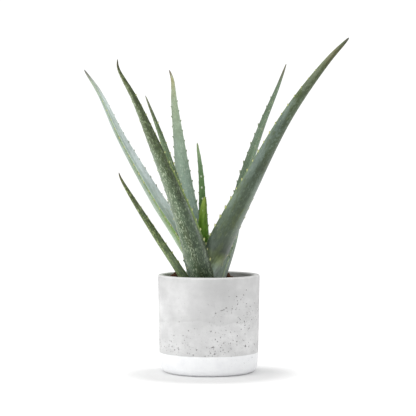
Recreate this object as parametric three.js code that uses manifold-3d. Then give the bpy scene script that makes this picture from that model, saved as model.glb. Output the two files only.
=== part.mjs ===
// A potted aloe: a tapering rosette of nine toothed leaves on a short rooted stem, in potting soil, in a
// round-footed concrete pot. Millimetres, +Z up. The origin is the middle of the pot's underside, and the
// side that the plant is looked at from is -Y.
import * as THREE from "three";
import { mergeVertices } from "three/addons/utils/BufferGeometryUtils.js";
import Module from "manifold-3d";

const wasm = await Module();
wasm.setup();

// Clearance between neighbours that touch on the real plant.
const GAP = 0.3;

// Corners closer together than this are one corner.
const SLIVER = 0.02;

// The pot: a straight cup that narrows a little towards its foot.
const POT = {
  height: 124,
  rimRadius: 65,
  bandRadius: 63.4,
  bandHeight: 25.5,
  footRadius: 62.2,
  footRound: 10,
  wall: 7.4,
  floor: 10,
  rimRound: 2,
  sides: 56,
  roundSteps: 3,
};

// The potting soil, with a heap round the plant and coarse lumps of bark in it.
const SOIL = {
  top: 114.5,
  heap: 3.5,
  heapRadius: 26,
  ripple: 1.1,
  rings: 7,
  sides: 36,
  lumps: 24,
  lumpSize: [3, 5.5],
  seed: 11,
};

// The short stem, the crown that it widens to, which the leaves grow from, and its roots. outline goes up
// as pairs of radius and height.
const STEM = {
  centre: [-3, 0],
  outline: [[8, 70], [11, 82], [27, 93], [28, 100], [19, 104]],
  bottom: 68,
  top: 105,
  sides: 20,
  roots: 6,
  rootStart: 76,
  rootLength: 50,
  rootRadius: 2.4,
};

// How every leaf is made. Shares run from 0 at the root of the leaf to 1 at its tip.
const BLADE = {
  stations: 20,
  sectionPoints: 14,
  tipCrowding: 1.7, // above 1, sections stand closer towards the tip
  tipRound: 0.4, // the lower, the rounder the blunt part of a tip
  edge: 1.15, // above 1, the margins are keener than an ellipse's ends
  thinning: 0.8, // how fast the flesh thins towards the tip, as a power of the width
  neckEnd: 0.22, // where a narrow root reaches the leaf's full width
};

// The pale teeth along both margins.
const TOOTH = {
  spacing: 13.5,
  lowest: 134, // no teeth below this height, where the leaves clasp each other
  last: 0.84,
  length: 3.4,
  height: 2.4,
  thickness: 1.7,
  sunk: 1.6,
  forward: 24,
};

// One row per leaf, outermost first. midrib runs from the root, below the soil, to the tip. facing is the
// compass angle that its inner face looks along, at the root and at the tip. width and thickness are taken
// at the root, cup is how far the margins stand above the midrib, belly fills the blade out (or hollows it,
// below 0), blunt rounds its tip and neck is the share of the width that its root lacks.
const LEAVES = [
  {
    name: "leaf_low_left",
    midrib: [[-19, -7, 100], [-39, -14, 133], [-67, -21, 176], [-110, -29, 246], [-113, -30, 254]],
    facing: [62, 50],
    width: 12,
    thickness: 9,
    cup: 2.5,
    belly: 1.4,
    blunt: 0.68,
    neck: -0.3,
  },
  {
    name: "leaf_front_left",
    midrib: [[-2, -14, 100], [-28, -34, 190], [-70, -64, 296], [-91, -82, 345], [-110, -88, 381],
      [-111, -90, 392]],
    facing: [72, 60],
    width: 41,
    thickness: 13,
    cup: 7,
    belly: -0.29,
    blunt: 0.25,
    neck: 0.35,
  },
  {
    name: "leaf_right_front",
    midrib: [[-14, -6, 100], [13, -16, 163], [47, -32, 232], [97, -48, 325], [145, -58, 391],
      [172, -64, 420]],
    facing: [112, 150],
    width: 44,
    thickness: 15,
    cup: 7,
    belly: -0.6,
    blunt: 0.57,
    neck: 0.65,
  },
  {
    name: "leaf_far_left",
    midrib: [[-1, 6, 100], [-13, 18, 142], [-69, 41, 227], [-114, 56, 302], [-143, 66, 359],
      [-164, 70, 389]],
    facing: [-24, -19],
    width: 53,
    thickness: 11,
    cup: 13,
    belly: -0.31,
    blunt: 0.42,
    neck: 0.5,
  },
  {
    name: "leaf_right_back",
    midrib: [[4, 8, 100], [26, 26, 169], [40, 40, 234], [68, 55, 315], [91, 67, 369], [102, 72, 397]],
    facing: [212, 205],
    width: 32,
    thickness: 9,
    cup: 9,
    belly: 0.1,
    blunt: 0.38,
    neck: 0.2,
  },
  {
    name: "leaf_left_inner",
    midrib: [[-6, 1, 100], [-20, -3, 162], [-57, -12, 290], [-80, -18, 351]],
    facing: [60, 50],
    width: 33,
    thickness: 10,
    cup: 5,
    belly: -0.58,
    blunt: 0.29,
    neck: 0.4,
  },
  {
    name: "leaf_back",
    midrib: [[-7, 11, 100], [-27, 28, 205], [-39, 42, 295], [-45, 52, 343], [-48, 58, 376], [-52, 60, 388]],
    facing: [-85, -85],
    width: 45,
    thickness: 9,
    cup: 5,
    belly: -0.6,
    blunt: 0.27,
    neck: 0.5,
  },
  {
    name: "leaf_centre",
    midrib: [[-4, 4, 100], [-7, 8, 176], [-10, 10, 251], [-15, 13, 292]],
    facing: [-80, -80],
    width: 17,
    thickness: 7,
    cup: 4,
    belly: -0.6,
    blunt: 0.65,
    neck: 0.3,
  },
  {
    name: "leaf_bud",
    midrib: [[-4, 0, 100], [-7, 1, 168], [-7, 1, 203], [-5, 1, 223]],
    facing: [90, 90],
    width: 22,
    thickness: 6,
    cup: 3,
    belly: 0.5,
    blunt: 0.85,
    neck: 0.55,
  },
];

// Colour, roughness and metalness of each material.
const FINISH = {
  concrete: [0xd2d1cf, 0.85, 0],
  soil: [0x3a2318, 1, 0],
  stem: [0x9a9a6a, 0.8, 0],
  leaf: [0x6f8a70, 0.5, 0],
  youngLeaf: [0x5d8a35, 0.45, 0],
};
const YOUNG = ["leaf_centre", "leaf_bud"];

// A repeatable run of numbers from 0 to 1.
function seeded(seed) {
  let state = seed;
  return () => {
    state = (state * 16807) % 2147483647;
    return state / 2147483647;
  };
}

// A solid from rings of equally many points, closed by a point at each end.
function loft(start, rings, end) {
  const n = rings[0].length;
  const points = [start, ...rings.flat(), end];
  const last = points.length - 1;
  const corner = (ring, k) => 1 + ring * n + (k % n);
  const faces = [];
  for (let k = 0; k < n; k++) {
    faces.push(0, corner(0, k + 1), corner(0, k));
    for (let ring = 0; ring + 1 < rings.length; ring++) {
      const [a, b] = [corner(ring, k), corner(ring, k + 1)];
      const [c, d] = [corner(ring + 1, k + 1), corner(ring + 1, k)];
      faces.push(a, b, c, a, c, d);
    }
    faces.push(last, corner(rings.length - 1, k), corner(rings.length - 1, k + 1));
  }
  const geometry = new THREE.BufferGeometry().setFromPoints(points);
  geometry.setIndex(faces);
  return toSolid(geometry);
}

// A three.js geometry as a solid that can be joined and cut.
function toSolid(geometry, weld = 1e-4) {
  const bare = geometry.clone();
  bare.deleteAttribute("normal");
  bare.deleteAttribute("uv");
  const merged = mergeVertices(bare, weld);
  return new wasm.Manifold(
    new wasm.Mesh({
      numProp: 3,
      vertProperties: merged.attributes.position.array,
      triVerts: new Uint32Array(merged.index.array),
    }),
  );
}

function toGeometry(solid) {
  const cut = solid.getMesh();
  const geometry = new THREE.BufferGeometry();
  geometry.setAttribute("position", new THREE.BufferAttribute(Float32Array.from(cut.vertProperties), 3));
  geometry.setIndex(new THREE.BufferAttribute(Uint32Array.from(cut.triVerts), 1));
  return geometry;
}

// The largest body of a cut solid, without the crumbs and hair-thin slivers that a cut can leave.
function tidy(solid) {
  const bodies = toSolid(toGeometry(solid), SLIVER).decompose();
  return bodies.reduce((best, body) => (body.volume() > best.volume() ? body : best));
}

function toMesh(name, solid, [color, roughness, metalness]) {
  const geometry = toGeometry(solid);
  geometry.computeVertexNormals();
  const mesh = new THREE.Mesh(geometry, new THREE.MeshStandardMaterial({ color, roughness, metalness }));
  mesh.name = name;
  return mesh;
}

// Points of a quarter round from one angle to another, in degrees.
function quarterRound(x, y, radius, from, to) {
  return Array.from({ length: POT.roundSteps + 1 }, (_, i) => {
    const angle = THREE.MathUtils.degToRad(from + ((to - from) * i) / POT.roundSteps);
    return new THREE.Vector2(x + radius * Math.cos(angle), y + radius * Math.sin(angle));
  });
}

// The pot's inner radius at a height: the wall is as thick all the way up.
function potInside(height) {
  const rise = (height - POT.bandHeight) / (POT.height - POT.bandHeight);
  return POT.bandRadius + (POT.rimRadius - POT.bandRadius) * rise - POT.wall;
}

function makePot() {
  const { height, rimRadius, footRadius, footRound, rimRound, floor, wall } = POT;
  const mouth = rimRadius - wall;
  const bottom = potInside(floor);
  const profile = [
    new THREE.Vector2(0, 0),
    ...quarterRound(footRadius - footRound, footRound, footRound, -90, 0),
    new THREE.Vector2(POT.bandRadius, POT.bandHeight),
    ...quarterRound(rimRadius - rimRound, height - rimRound, rimRound, 0, 90),
    ...quarterRound(mouth + rimRound, height - rimRound, rimRound, 90, 180),
    ...quarterRound(bottom - rimRound, floor + rimRound, rimRound, 0, -90),
    new THREE.Vector2(0, floor),
  ];
  return toSolid(new THREE.LatheGeometry(profile, POT.sides).rotateX(Math.PI / 2));
}

// A ring of points round an axis, at a height that may change along the ring.
function circle(centre, radius, sides, height) {
  return Array.from({ length: sides }, (_, k) => {
    const angle = (2 * Math.PI * k) / sides;
    const x = centre[0] + radius * Math.cos(angle);
    const y = centre[1] + radius * Math.sin(angle);
    return new THREE.Vector3(x, y, typeof height === "function" ? height(x, y) : height);
  });
}

// Height of the soil at a place.
function soilHeight(x, y) {
  const away = Math.hypot(x - STEM.centre[0], y - STEM.centre[1]);
  const heap = SOIL.heap * Math.exp(-((away / SOIL.heapRadius) ** 2));
  const ripple = Math.sin(x / 4.1 + 1) * Math.cos(y / 4.7) + 0.5 * Math.sin((x + y) / 2.9);
  return SOIL.top + heap + SOIL.ripple * ripple;
}

function makeSoil() {
  const { rings, sides } = SOIL;
  const foot = POT.floor + GAP;
  const wallRadius = (z) => potInside(z) - GAP;
  const side = [
    circle([0, 0], wallRadius(foot) - POT.rimRound, sides, foot),
    circle([0, 0], wallRadius(foot), sides, foot + POT.rimRound),
    circle([0, 0], wallRadius(SOIL.top), sides, soilHeight),
  ];
  const top = [];
  for (let i = rings - 1; i > 0; i--) {
    top.push(circle([0, 0], (wallRadius(SOIL.top) * i) / rings, sides, soilHeight));
  }
  const middle = new THREE.Vector3(0, 0, soilHeight(0, 0));
  let soil = loft(new THREE.Vector3(0, 0, foot), [...side, ...top], middle);
  const random = seeded(SOIL.seed);
  for (let i = 0; i < SOIL.lumps; i++) soil = soil.add(makeLump(random));
  return soil;
}

// One lump of bark, half sunk in the soil.
function makeLump(random) {
  const [small, large] = SOIL.lumpSize;
  const size = small + (large - small) * random();
  const angle = 2 * Math.PI * random();
  const reach = 20 + (potInside(SOIL.top) - large - 21) * Math.sqrt(random());
  const [x, y] = [reach * Math.cos(angle), reach * Math.sin(angle)];
  const lump = new THREE.IcosahedronGeometry(size, 0);
  lump.scale(1, 0.6 + 0.3 * random(), 0.45 + 0.25 * random());
  lump.rotateX(0.5 * (random() - 0.5));
  lump.rotateZ(2 * Math.PI * random());
  lump.translate(x, y, soilHeight(x, y) + 0.2 * size);
  return toSolid(lump);
}

// The stem with its roots, grown by a margin on every side.
function makeStem(margin) {
  const { centre, outline, bottom, top, sides } = STEM;
  const rings = outline.map(([radius, height], i) => {
    const lift = i === outline.length - 1 ? margin : 0;
    return circle(centre, radius + margin, sides, height + lift);
  });
  const low = new THREE.Vector3(...centre, bottom - margin);
  const high = new THREE.Vector3(...centre, top + margin);
  let stem = loft(low, rings, high);
  for (let i = 0; i < STEM.roots; i++) stem = stem.add(makeRoot(i, margin));
  return stem;
}

// A root that leaves the stem's foot sideways and turns down.
function makeRoot(index, margin) {
  const turn = (2 * Math.PI * index) / STEM.roots + 0.4;
  const steps = 5;
  const rings = [];
  const start = new THREE.Vector3(...STEM.centre, STEM.rootStart);
  const place = start.clone();
  for (let i = 0; i <= steps; i++) {
    const dip = THREE.MathUtils.degToRad(20 + (60 * i) / steps);
    const heading = turn + 0.12 * i;
    const radius = STEM.rootRadius * (1 - (0.6 * i) / steps) + margin;
    const out = new THREE.Vector3(Math.cos(heading), Math.sin(heading), -Math.tan(dip)).normalize();
    const flat = new THREE.Vector3(-Math.sin(heading), Math.cos(heading), 0);
    const lift = new THREE.Vector3().crossVectors(out, flat);
    rings.push(
      Array.from({ length: 6 }, (_, k) => {
        const angle = (Math.PI * k) / 3;
        const point = place.clone().addScaledVector(flat, radius * Math.cos(angle));
        return point.addScaledVector(lift, radius * Math.sin(angle));
      }),
    );
    if (i < steps) place.addScaledVector(out, STEM.rootLength / steps);
    else place.addScaledVector(out, 2 + margin);
  }
  return loft(start, rings, place);
}

function midribCurve(leaf) {
  return new THREE.CatmullRomCurve3(leaf.midrib.map((point) => new THREE.Vector3(...point)));
}

// A leaf's midrib: gives the place and the three directions of the blade at any share of it.
function traceMidrib(leaf) {
  const curve = midribCurve(leaf);
  return (share) => {
    const point = curve.getPointAt(share);
    const forward = curve.getTangentAt(share);
    const look = THREE.MathUtils.degToRad(THREE.MathUtils.lerp(...leaf.facing, share));
    const inner = new THREE.Vector3(Math.cos(look), Math.sin(look), 0);
    inner.addScaledVector(forward, -inner.dot(forward)).normalize();
    return { point, forward, inner, across: new THREE.Vector3().crossVectors(inner, forward) };
  };
}

// The share of its full width that a leaf has at a share of its length.
function widthShare(leaf, share) {
  const left = Math.max(1 - share, 0);
  const neck = 1 - leaf.neck * Math.max(1 - share / BLADE.neckEnd, 0) ** 1.5;
  return neck * ((1 - leaf.blunt) * left * (1 + leaf.belly * share) + leaf.blunt * left ** BLADE.tipRound);
}

// A crescent section: half width, thickness and cup, all in the leaf's own directions.
function section(leaf, frame, share, margin) {
  const full = widthShare(leaf, share);
  const flesh = full ** BLADE.thinning;
  const half = (leaf.width / 2) * full;
  const thick = (leaf.thickness / 2) * flesh + margin;
  return Array.from({ length: BLADE.sectionPoints }, (_, k) => {
    const angle = (2 * Math.PI * k) / BLADE.sectionPoints;
    const off = (half + margin) * Math.cos(angle);
    const swell = Math.sin(angle);
    const sag = leaf.cup * full * (1 - (off / half) ** 2);
    const bulge = thick * Math.sign(swell) * Math.abs(swell) ** BLADE.edge - sag;
    return frame.point.clone().addScaledVector(frame.across, off).addScaledVector(frame.inner, bulge);
  });
}

// A leaf without its teeth, grown by a margin on every side.
function makeBlade(leaf, margin) {
  const at = traceMidrib(leaf);
  const rings = [];
  for (let i = 0; i < BLADE.stations; i++) {
    const share = 1 - (1 - i / BLADE.stations) ** BLADE.tipCrowding;
    rings.push(section(leaf, at(share), share, margin));
  }
  const [root, tip] = [at(0), at(1)];
  const heart = root.point.addScaledVector(root.inner, -leaf.cup * widthShare(leaf, 0));
  heart.addScaledVector(root.forward, -margin);
  return loft(heart, rings, tip.point.addScaledVector(tip.forward, margin));
}

// A leaf with its teeth, grown by a margin on every side.
function makeLeaf(leaf, margin) {
  const at = traceMidrib(leaf);
  const count = Math.round(midribCurve(leaf).getLength() / TOOTH.spacing);
  let solid = makeBlade(leaf, margin);
  for (const edge of [-1, 1]) {
    for (let i = 1; i < count * TOOTH.last; i++) {
      const share = (i + 0.25 * edge) / count;
      const frame = at(share);
      if (frame.point.z > TOOTH.lowest) solid = solid.add(makeTooth(leaf, frame, share, edge, margin));
    }
  }
  return solid;
}

// One tooth: a four-sided spike on the margin, sunk into it and leaning towards the tip.
function makeTooth(leaf, frame, share, edge, margin) {
  const shrink = 0.55 + 0.45 * (1 - share);
  const full = widthShare(leaf, share);
  const half = (leaf.width / 2) * full;
  const out = frame.across.clone().multiplyScalar(edge);
  const sunk = Math.min(TOOTH.sunk, half / 2);
  const sag = leaf.cup * full * (1 - (1 - sunk / half) ** 2);
  const rim = frame.point.clone().addScaledVector(out, half);
  const foot = rim.clone().addScaledVector(out, -sunk).addScaledVector(frame.inner, -sag);
  const lean = THREE.MathUtils.degToRad(TOOTH.forward);
  const reach = TOOTH.height * shrink + margin;
  const ahead = (sunk + reach) * Math.tan(lean);
  const apex = rim.addScaledVector(out, reach).addScaledVector(frame.forward, ahead);
  const long = (TOOTH.length / 2) * shrink + margin;
  const thick = (TOOTH.thickness / 2) * shrink + margin;
  const ring = [
    foot.clone().addScaledVector(frame.forward, long),
    foot.clone().addScaledVector(frame.inner, thick),
    foot.clone().addScaledVector(frame.forward, -long),
    foot.clone().addScaledVector(frame.inner, -thick),
  ];
  if (edge > 0) ring.reverse();
  return loft(foot.clone().addScaledVector(out, -0.2), [ring], apex);
}

const plant = new THREE.Group();
plant.add(toMesh("pot", makePot(), FINISH.concrete));

const grownStem = makeStem(GAP);
let soil = makeSoil().subtract(grownStem);
const taken = [];
for (const leaf of LEAVES) {
  let blade = makeLeaf(leaf, 0).subtract(grownStem);
  for (const other of taken) blade = blade.subtract(other);
  taken.push(makeLeaf(leaf, GAP));
  soil = soil.subtract(makeBlade(leaf, GAP));
  plant.add(toMesh(leaf.name, tidy(blade), YOUNG.includes(leaf.name) ? FINISH.youngLeaf : FINISH.leaf));
}
plant.add(toMesh("stem", makeStem(0), FINISH.stem));
plant.add(toMesh("soil", tidy(soil), FINISH.soil));

export default plant;
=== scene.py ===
import math

import bmesh
import bpy
import numpy as np
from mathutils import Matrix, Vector, noise


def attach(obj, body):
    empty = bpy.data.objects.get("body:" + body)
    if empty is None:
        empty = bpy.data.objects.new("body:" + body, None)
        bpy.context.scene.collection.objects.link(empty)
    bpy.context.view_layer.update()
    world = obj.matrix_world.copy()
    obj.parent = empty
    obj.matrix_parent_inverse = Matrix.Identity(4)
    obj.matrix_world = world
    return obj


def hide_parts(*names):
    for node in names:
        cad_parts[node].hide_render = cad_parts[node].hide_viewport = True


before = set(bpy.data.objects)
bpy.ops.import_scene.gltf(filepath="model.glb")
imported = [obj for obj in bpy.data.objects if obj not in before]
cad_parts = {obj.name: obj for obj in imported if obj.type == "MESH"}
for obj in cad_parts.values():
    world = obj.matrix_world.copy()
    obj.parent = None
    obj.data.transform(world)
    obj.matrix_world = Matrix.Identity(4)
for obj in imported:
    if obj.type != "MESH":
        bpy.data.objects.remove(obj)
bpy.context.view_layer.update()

mm = 0.001
plainWhite = (1, 1, 1, 1)
scene = bpy.context.scene
scene.view_settings.view_transform = "Standard"


def metres(sizes):
    # From sizes in mm
    return tuple(size * mm for size in sizes)


# Node helpers

def fill(socket, value):
    if isinstance(value, bpy.types.NodeSocket):
        socket.id_data.links.new(value, socket)
    else:
        socket.default_value = value


def put(tree, kind, inputs=None, **settings):
    node = tree.nodes.new(kind)
    for key, value in settings.items():
        setattr(node, key, value)
    for key, value in (inputs or {}).items():
        fill(node.inputs[key], value)
    return node


def feed(kind, inputs, **settings):
    # The outputs of a node fed by one socket or more, in the tree that they are in
    sockets = (value for value in inputs.values() if isinstance(value, bpy.types.NodeSocket))
    return put(next(sockets).id_data, kind, inputs, **settings).outputs


def calc(operation, *values, clamp=False):
    return feed("ShaderNodeMath", dict(enumerate(values)), operation=operation, use_clamp=clamp)[0]


def plus(first, second):
    return calc("ADD", first, second)


def minus(first, second):
    return calc("SUBTRACT", first, second)


def oneMinus(value):
    return calc("SUBTRACT", 1.0, value)


def times(*values):
    product = values[0]
    for value in values[1:]:
        product = calc("MULTIPLY", product, value)
    return product


def timesPlus(value, factor, added):
    return calc("MULTIPLY_ADD", value, factor, added)


def greater(first, second):
    return calc("MAXIMUM", first, second)


def vectorCalc(operation, *values):
    outputs = feed("ShaderNodeVectorMath", dict(enumerate(values)), operation=operation)
    return outputs["Value" if operation in ("DOT_PRODUCT", "LENGTH") else "Vector"]


def lengthOf(vector):
    return vectorCalc("LENGTH", vector)


def scaled(vector, factor):
    return feed("ShaderNodeVectorMath", {"Vector": vector, "Scale": factor}, operation="SCALE")[0]


def stretched(vector, factors):
    return vectorCalc("MULTIPLY", vector, factors)


def moved(place, *steps):
    for step in steps:
        place = vectorCalc("ADD", place, step)
    return place


def vectorOf(x, y=0.0, z=0.0):
    return feed("ShaderNodeCombineXYZ", {"X": x, "Y": y, "Z": z})[0]


def partsOf(vector):
    return feed("ShaderNodeSeparateXYZ", {"Vector": vector})


def ease(value, low, high):
    # 0 up to low, 1 from high on and smooth between; it falls where low is above high
    inputs = {"Value": value, "From Min": low, "From Max": high}
    return feed("ShaderNodeMapRange", inputs, interpolation_type="SMOOTHSTEP")["Result"]


def easeOver(value, span):
    # The same between two sizes in mm
    return ease(value, *metres(span))


def blendColor(factor, first, second, how="MIX"):
    return feed("ShaderNodeMix", {0: factor, 6: first, 7: second}, data_type="RGBA", blend_type=how)[2]


def tinted(factor, color, tint):
    return blendColor(factor, color, blendColor(1.0, color, tint, "MULTIPLY"))


def noiseOf(vector, scale, detail, roughness=0.5):
    inputs = {"Vector": vector, "Scale": scale, "Detail": detail, "Roughness": roughness}
    return feed("ShaderNodeTexNoise", inputs)["Fac"]


def driftOf(vector, scale):
    # Three smooth random values at each place, from 0 to 1
    return feed("ShaderNodeTexNoise", {"Vector": vector, "Scale": scale})["Color"]


def cellsOf(vector, scale):
    # How far the nearest of many strewn points is, and a random value for each point
    cells = feed("ShaderNodeTexVoronoi", {"Vector": vector, "Scale": scale})
    return cells["Distance"], feed("ShaderNodeSeparateColor", {"Color": cells["Color"]})["Red"]


def paint(code):
    # "#rrggbb" as linear red, green, blue and alpha
    parts = [int(code[i:i + 2], 16) / 255 for i in (1, 3, 5)]
    return (*[p / 12.92 if p <= 0.04045 else ((p + 0.055) / 1.055) ** 2.4 for p in parts], 1)


def rampOf(stops, factor):
    ramp = put(factor.id_data, "ShaderNodeValToRGB", {"Fac": factor})
    while len(ramp.color_ramp.elements) < len(stops):
        ramp.color_ramp.elements.new(1.0)
    for element, (place, code) in zip(ramp.color_ramp.elements, stops):
        element.position, element.color = place, paint(code)
    return ramp.outputs["Color"]


def attributeOf(tree, name, output="Fac"):
    return put(tree, "ShaderNodeAttribute", attribute_name=name).outputs[output]


def objectPlace(tree):
    return put(tree, "ShaderNodeTexCoord").outputs["Object"]


def labelOf(key):
    # "spotScale" as "Spot Scale"
    return "".join(" " + letter if letter.isupper() else letter for letter in key).title()


socketKinds = {int: "Int", float: "Float", tuple: "Color"}


def newGroup(kind, name, inputs, outputs):
    # An input is given by its default value, or by the kind of its socket where it has none
    tree = bpy.data.node_groups.new(name, kind)
    for label, value in inputs.items():
        named = isinstance(value, str)
        socketType = "NodeSocket" + (value if named else socketKinds[type(value)])
        socket = tree.interface.new_socket(label, in_out="INPUT", socket_type=socketType)
        if not named:
            socket.default_value = value
    for label, value in outputs.items():
        tree.interface.new_socket(label, in_out="OUTPUT", socket_type="NodeSocket" + value)
    return tree, put(tree, "NodeGroupInput").outputs, put(tree, "NodeGroupOutput").inputs


def newMaterial(name, specular=0.5, roughness=0.5):
    material = bpy.data.materials.new(name)
    material.use_nodes = True
    shader = material.node_tree.nodes["Principled BSDF"]
    shader.inputs["Specular IOR Level"].default_value = specular
    shader.inputs["Roughness"].default_value = roughness
    return material, material.node_tree, shader


def finishMaterial(shader, color, roughness, height, depth, strength):
    bump = feed("ShaderNodeBump", {"Height": height, "Distance": depth, "Strength": strength})
    fill(shader.inputs["Base Color"], color)
    fill(shader.inputs["Roughness"], roughness)
    fill(shader.inputs["Normal"], bump["Normal"])


def makeGrainGroup():
    # Fine irregular grain at two sizes
    inputs = {"Vector": "Vector", "Scale": 900.0, "Contrast": 0.5}
    tree, ins, outs = newGroup("ShaderNodeTree", "fineGrain", inputs, {"Mask": "Float", "Height": "Float"})
    coarse = noiseOf(ins["Vector"], ins["Scale"], 4.0, 0.65)
    fine = noiseOf(ins["Vector"], times(ins["Scale"], 3.1), 2.0)
    both = timesPlus(fine, 0.4, times(coarse, 0.6))
    half = times(ins["Contrast"], 0.5)
    low, high = minus(0.5, half), plus(0.5, half)
    fill(outs["Mask"], ease(both, times(low, 0.7), times(high, 1.2)))
    fill(outs["Height"], both)
    return tree


def grainOf(vector, scale):
    return feed("ShaderNodeGroup", {"Vector": vector, "Scale": scale}, node_tree=grainGroup)


# Geometry node helpers

def newShapeTree(name, inputs):
    mesh = {"Geometry": "Geometry"}
    return newGroup("GeometryNodeTree", name, {**mesh, **inputs}, mesh)


def source(tree, kind, inputs=None):
    return put(tree, "GeometryNode" + kind, inputs).outputs[0]


def geo(kind, inputs, **settings):
    return feed("GeometryNode" + kind, inputs, **settings)[0]


def compared(value, how, limit):
    return feed("FunctionNodeCompare", {"A": value, "B": limit}, data_type="FLOAT", operation=how)[0]


def above(value, limit):
    return compared(value, "GREATER_THAN", limit)


def below(value, limit):
    return compared(value, "LESS_THAN", limit)


def logic(how, *tests):
    result = tests[0]
    for test in tests[1:]:
        result = feed("FunctionNodeBooleanMath", {0: result, 1: test}, operation=how)[0]
    return result


def randomOf(low, high, seed, kind="FLOAT"):
    return feed("FunctionNodeRandomValue", {"Min": low, "Max": high, "Seed": seed}, data_type=kind)["Value"]


def capture(geometry, fields):
    # Keeps each field, given as kind, name and value, on the points that the geometry has now
    node = put(geometry.id_data, "GeometryNodeCaptureAttribute")
    for kind, label, _ in fields:
        node.capture_items.new(kind, label)
    fill(node.inputs["Geometry"], geometry)
    for _, label, value in fields:
        fill(node.inputs[label], value)
    return [node.outputs["Geometry"]] + [node.outputs[label] for _, label, _ in fields]


def store(geometry, name, kind, value):
    return geo("StoreNamedAttribute", {"Geometry": geometry, "Name": name, "Value": value}, data_type=kind)


def dressed(geometry, material):
    return geo("SetMaterial", {"Geometry": geometry, "Material": material})


def copiesOn(points, shape, turn, size, where=True):
    inputs = {"Points": points, "Selection": where, "Instance": shape, "Rotation": turn, "Scale": size}
    return geo("RealizeInstances", {"Geometry": geo("InstanceOnPoints", inputs)})


def scatteredOn(mesh, where, density, seed):
    inputs = {"Mesh": mesh, "Selection": where, "Density": density, "Seed": seed}
    return feed("GeometryNodeDistributePointsOnFaces", inputs)


def joined(parts):
    join = put(parts[0].id_data, "GeometryNodeJoinGeometry")
    for part in parts:
        fill(join.inputs[0], part)
    return join.outputs[0]


# Mesh and object helpers

def linkObject(name, mesh):
    thing = bpy.data.objects.new(name, mesh)
    scene.collection.objects.link(thing)
    return thing


def addModifier(thing, tree, values):
    modifier = thing.modifiers.new(tree.name, "NODES")
    modifier.node_group = tree
    for item in tree.interface.items_tree:
        if item.item_type == "SOCKET" and item.in_out == "INPUT" and item.name in values:
            modifier[item.identifier] = values[item.name]


def settle(thing, name):
    # The evaluated shape as a plain mesh on a new object, closed and facing out
    depsgraph = bpy.context.evaluated_depsgraph_get()
    mesh = bpy.data.meshes.new_from_object(thing.evaluated_get(depsgraph), preserve_all_data_layers=True,
                                           depsgraph=depsgraph)
    bpy.data.objects.remove(thing)
    shape = bmesh.new()
    shape.from_mesh(mesh)
    bmesh.ops.remove_doubles(shape, verts=shape.verts, dist=2e-6)
    bmesh.ops.recalc_face_normals(shape, faces=shape.faces)
    shape.to_mesh(mesh)
    shape.free()
    mesh.name = name
    return linkObject(name, mesh)


def circle(radius, count):
    angles = [2 * math.pi * k / count for k in range(count)]
    return [(radius * math.cos(a), radius * math.sin(a)) for a in angles]


def ringMesh(name, start, rings, end):
    # A closed skin over rings of equally many points, with one point at each end, all in mm
    count = len(rings[0])
    points = [start, *(point for ring in rings for point in ring), end]
    last, final = len(points) - 1, 1 + (len(rings) - 1) * count
    faces = []
    for k in range(count):
        following = (k + 1) % count
        faces.append((0, 1 + following, 1 + k))
        for low in range(1, final, count):
            high = low + count
            faces.append((low + k, low + following, high + following, high + k))
        faces.append((last, final + k, final + following))
    mesh = bpy.data.meshes.new(name)
    mesh.from_pydata([metres(point) for point in points], [], faces)
    return mesh


# Camera and light

cameraSettings = {
    "distance": 1.95,  # from the pot's axis
    "height": 0.266,
    "aside": -0.0011,
    "tilt": 1.685,  # degrees down
    "lens": 132.4,
    "sensor": 36,
}
lightSettings = {
    "dome": 0.66,  # strength of the white all round
    "backdrop": 1.1,  # strength of the white that the camera sees
    "aim": (0, 0, 0.2),
    "areas": {
        "key": {"place": (-1.9, -1.0, 1.3), "size": 2.6, "watts": 25},
        "fill": {"place": (2.0, -0.9, 0.9), "size": 2.0, "watts": 6},
        "top": {"place": (-0.1, 0.7, 2.3), "size": 1.4, "watts": 7},
    },
}


def makeCamera():
    settings = cameraSettings
    camera = linkObject("camera", bpy.data.cameras.new("camera"))
    camera.location = (settings["aside"], -settings["distance"], settings["height"])
    camera.rotation_euler = (math.radians(90 - settings["tilt"]), 0, 0)
    camera.data.sensor_width = settings["sensor"]
    camera.data.lens = settings["lens"]
    scene.camera = camera


def makeLight(name, place, size, watts):
    data = bpy.data.lights.new(name, "AREA")
    data.shape, data.size, data.energy = "DISK", size, watts
    light = linkObject(name, data)
    light.location = place
    direction = Vector(lightSettings["aim"]) - light.location
    light.rotation_euler = direction.to_track_quat("-Z", "Y").to_euler()


def makeWorld():
    world = bpy.data.worlds.new("studio")
    scene.world = world
    world.use_nodes = True
    tree = world.node_tree
    dome = tree.nodes["Background"]
    fill(dome.inputs["Color"], plainWhite)
    fill(dome.inputs["Strength"], lightSettings["dome"])
    backdrop = put(tree, "ShaderNodeBackground", {"Color": plainWhite, "Strength": lightSettings["backdrop"]})
    seen = put(tree, "ShaderNodeLightPath").outputs["Is Camera Ray"]
    mix = put(tree, "ShaderNodeMixShader", {0: seen, 1: dome.outputs[0], 2: backdrop.outputs[0]})
    fill(tree.nodes["World Output"].inputs["Surface"], mix.outputs[0])


# Leaves

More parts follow.
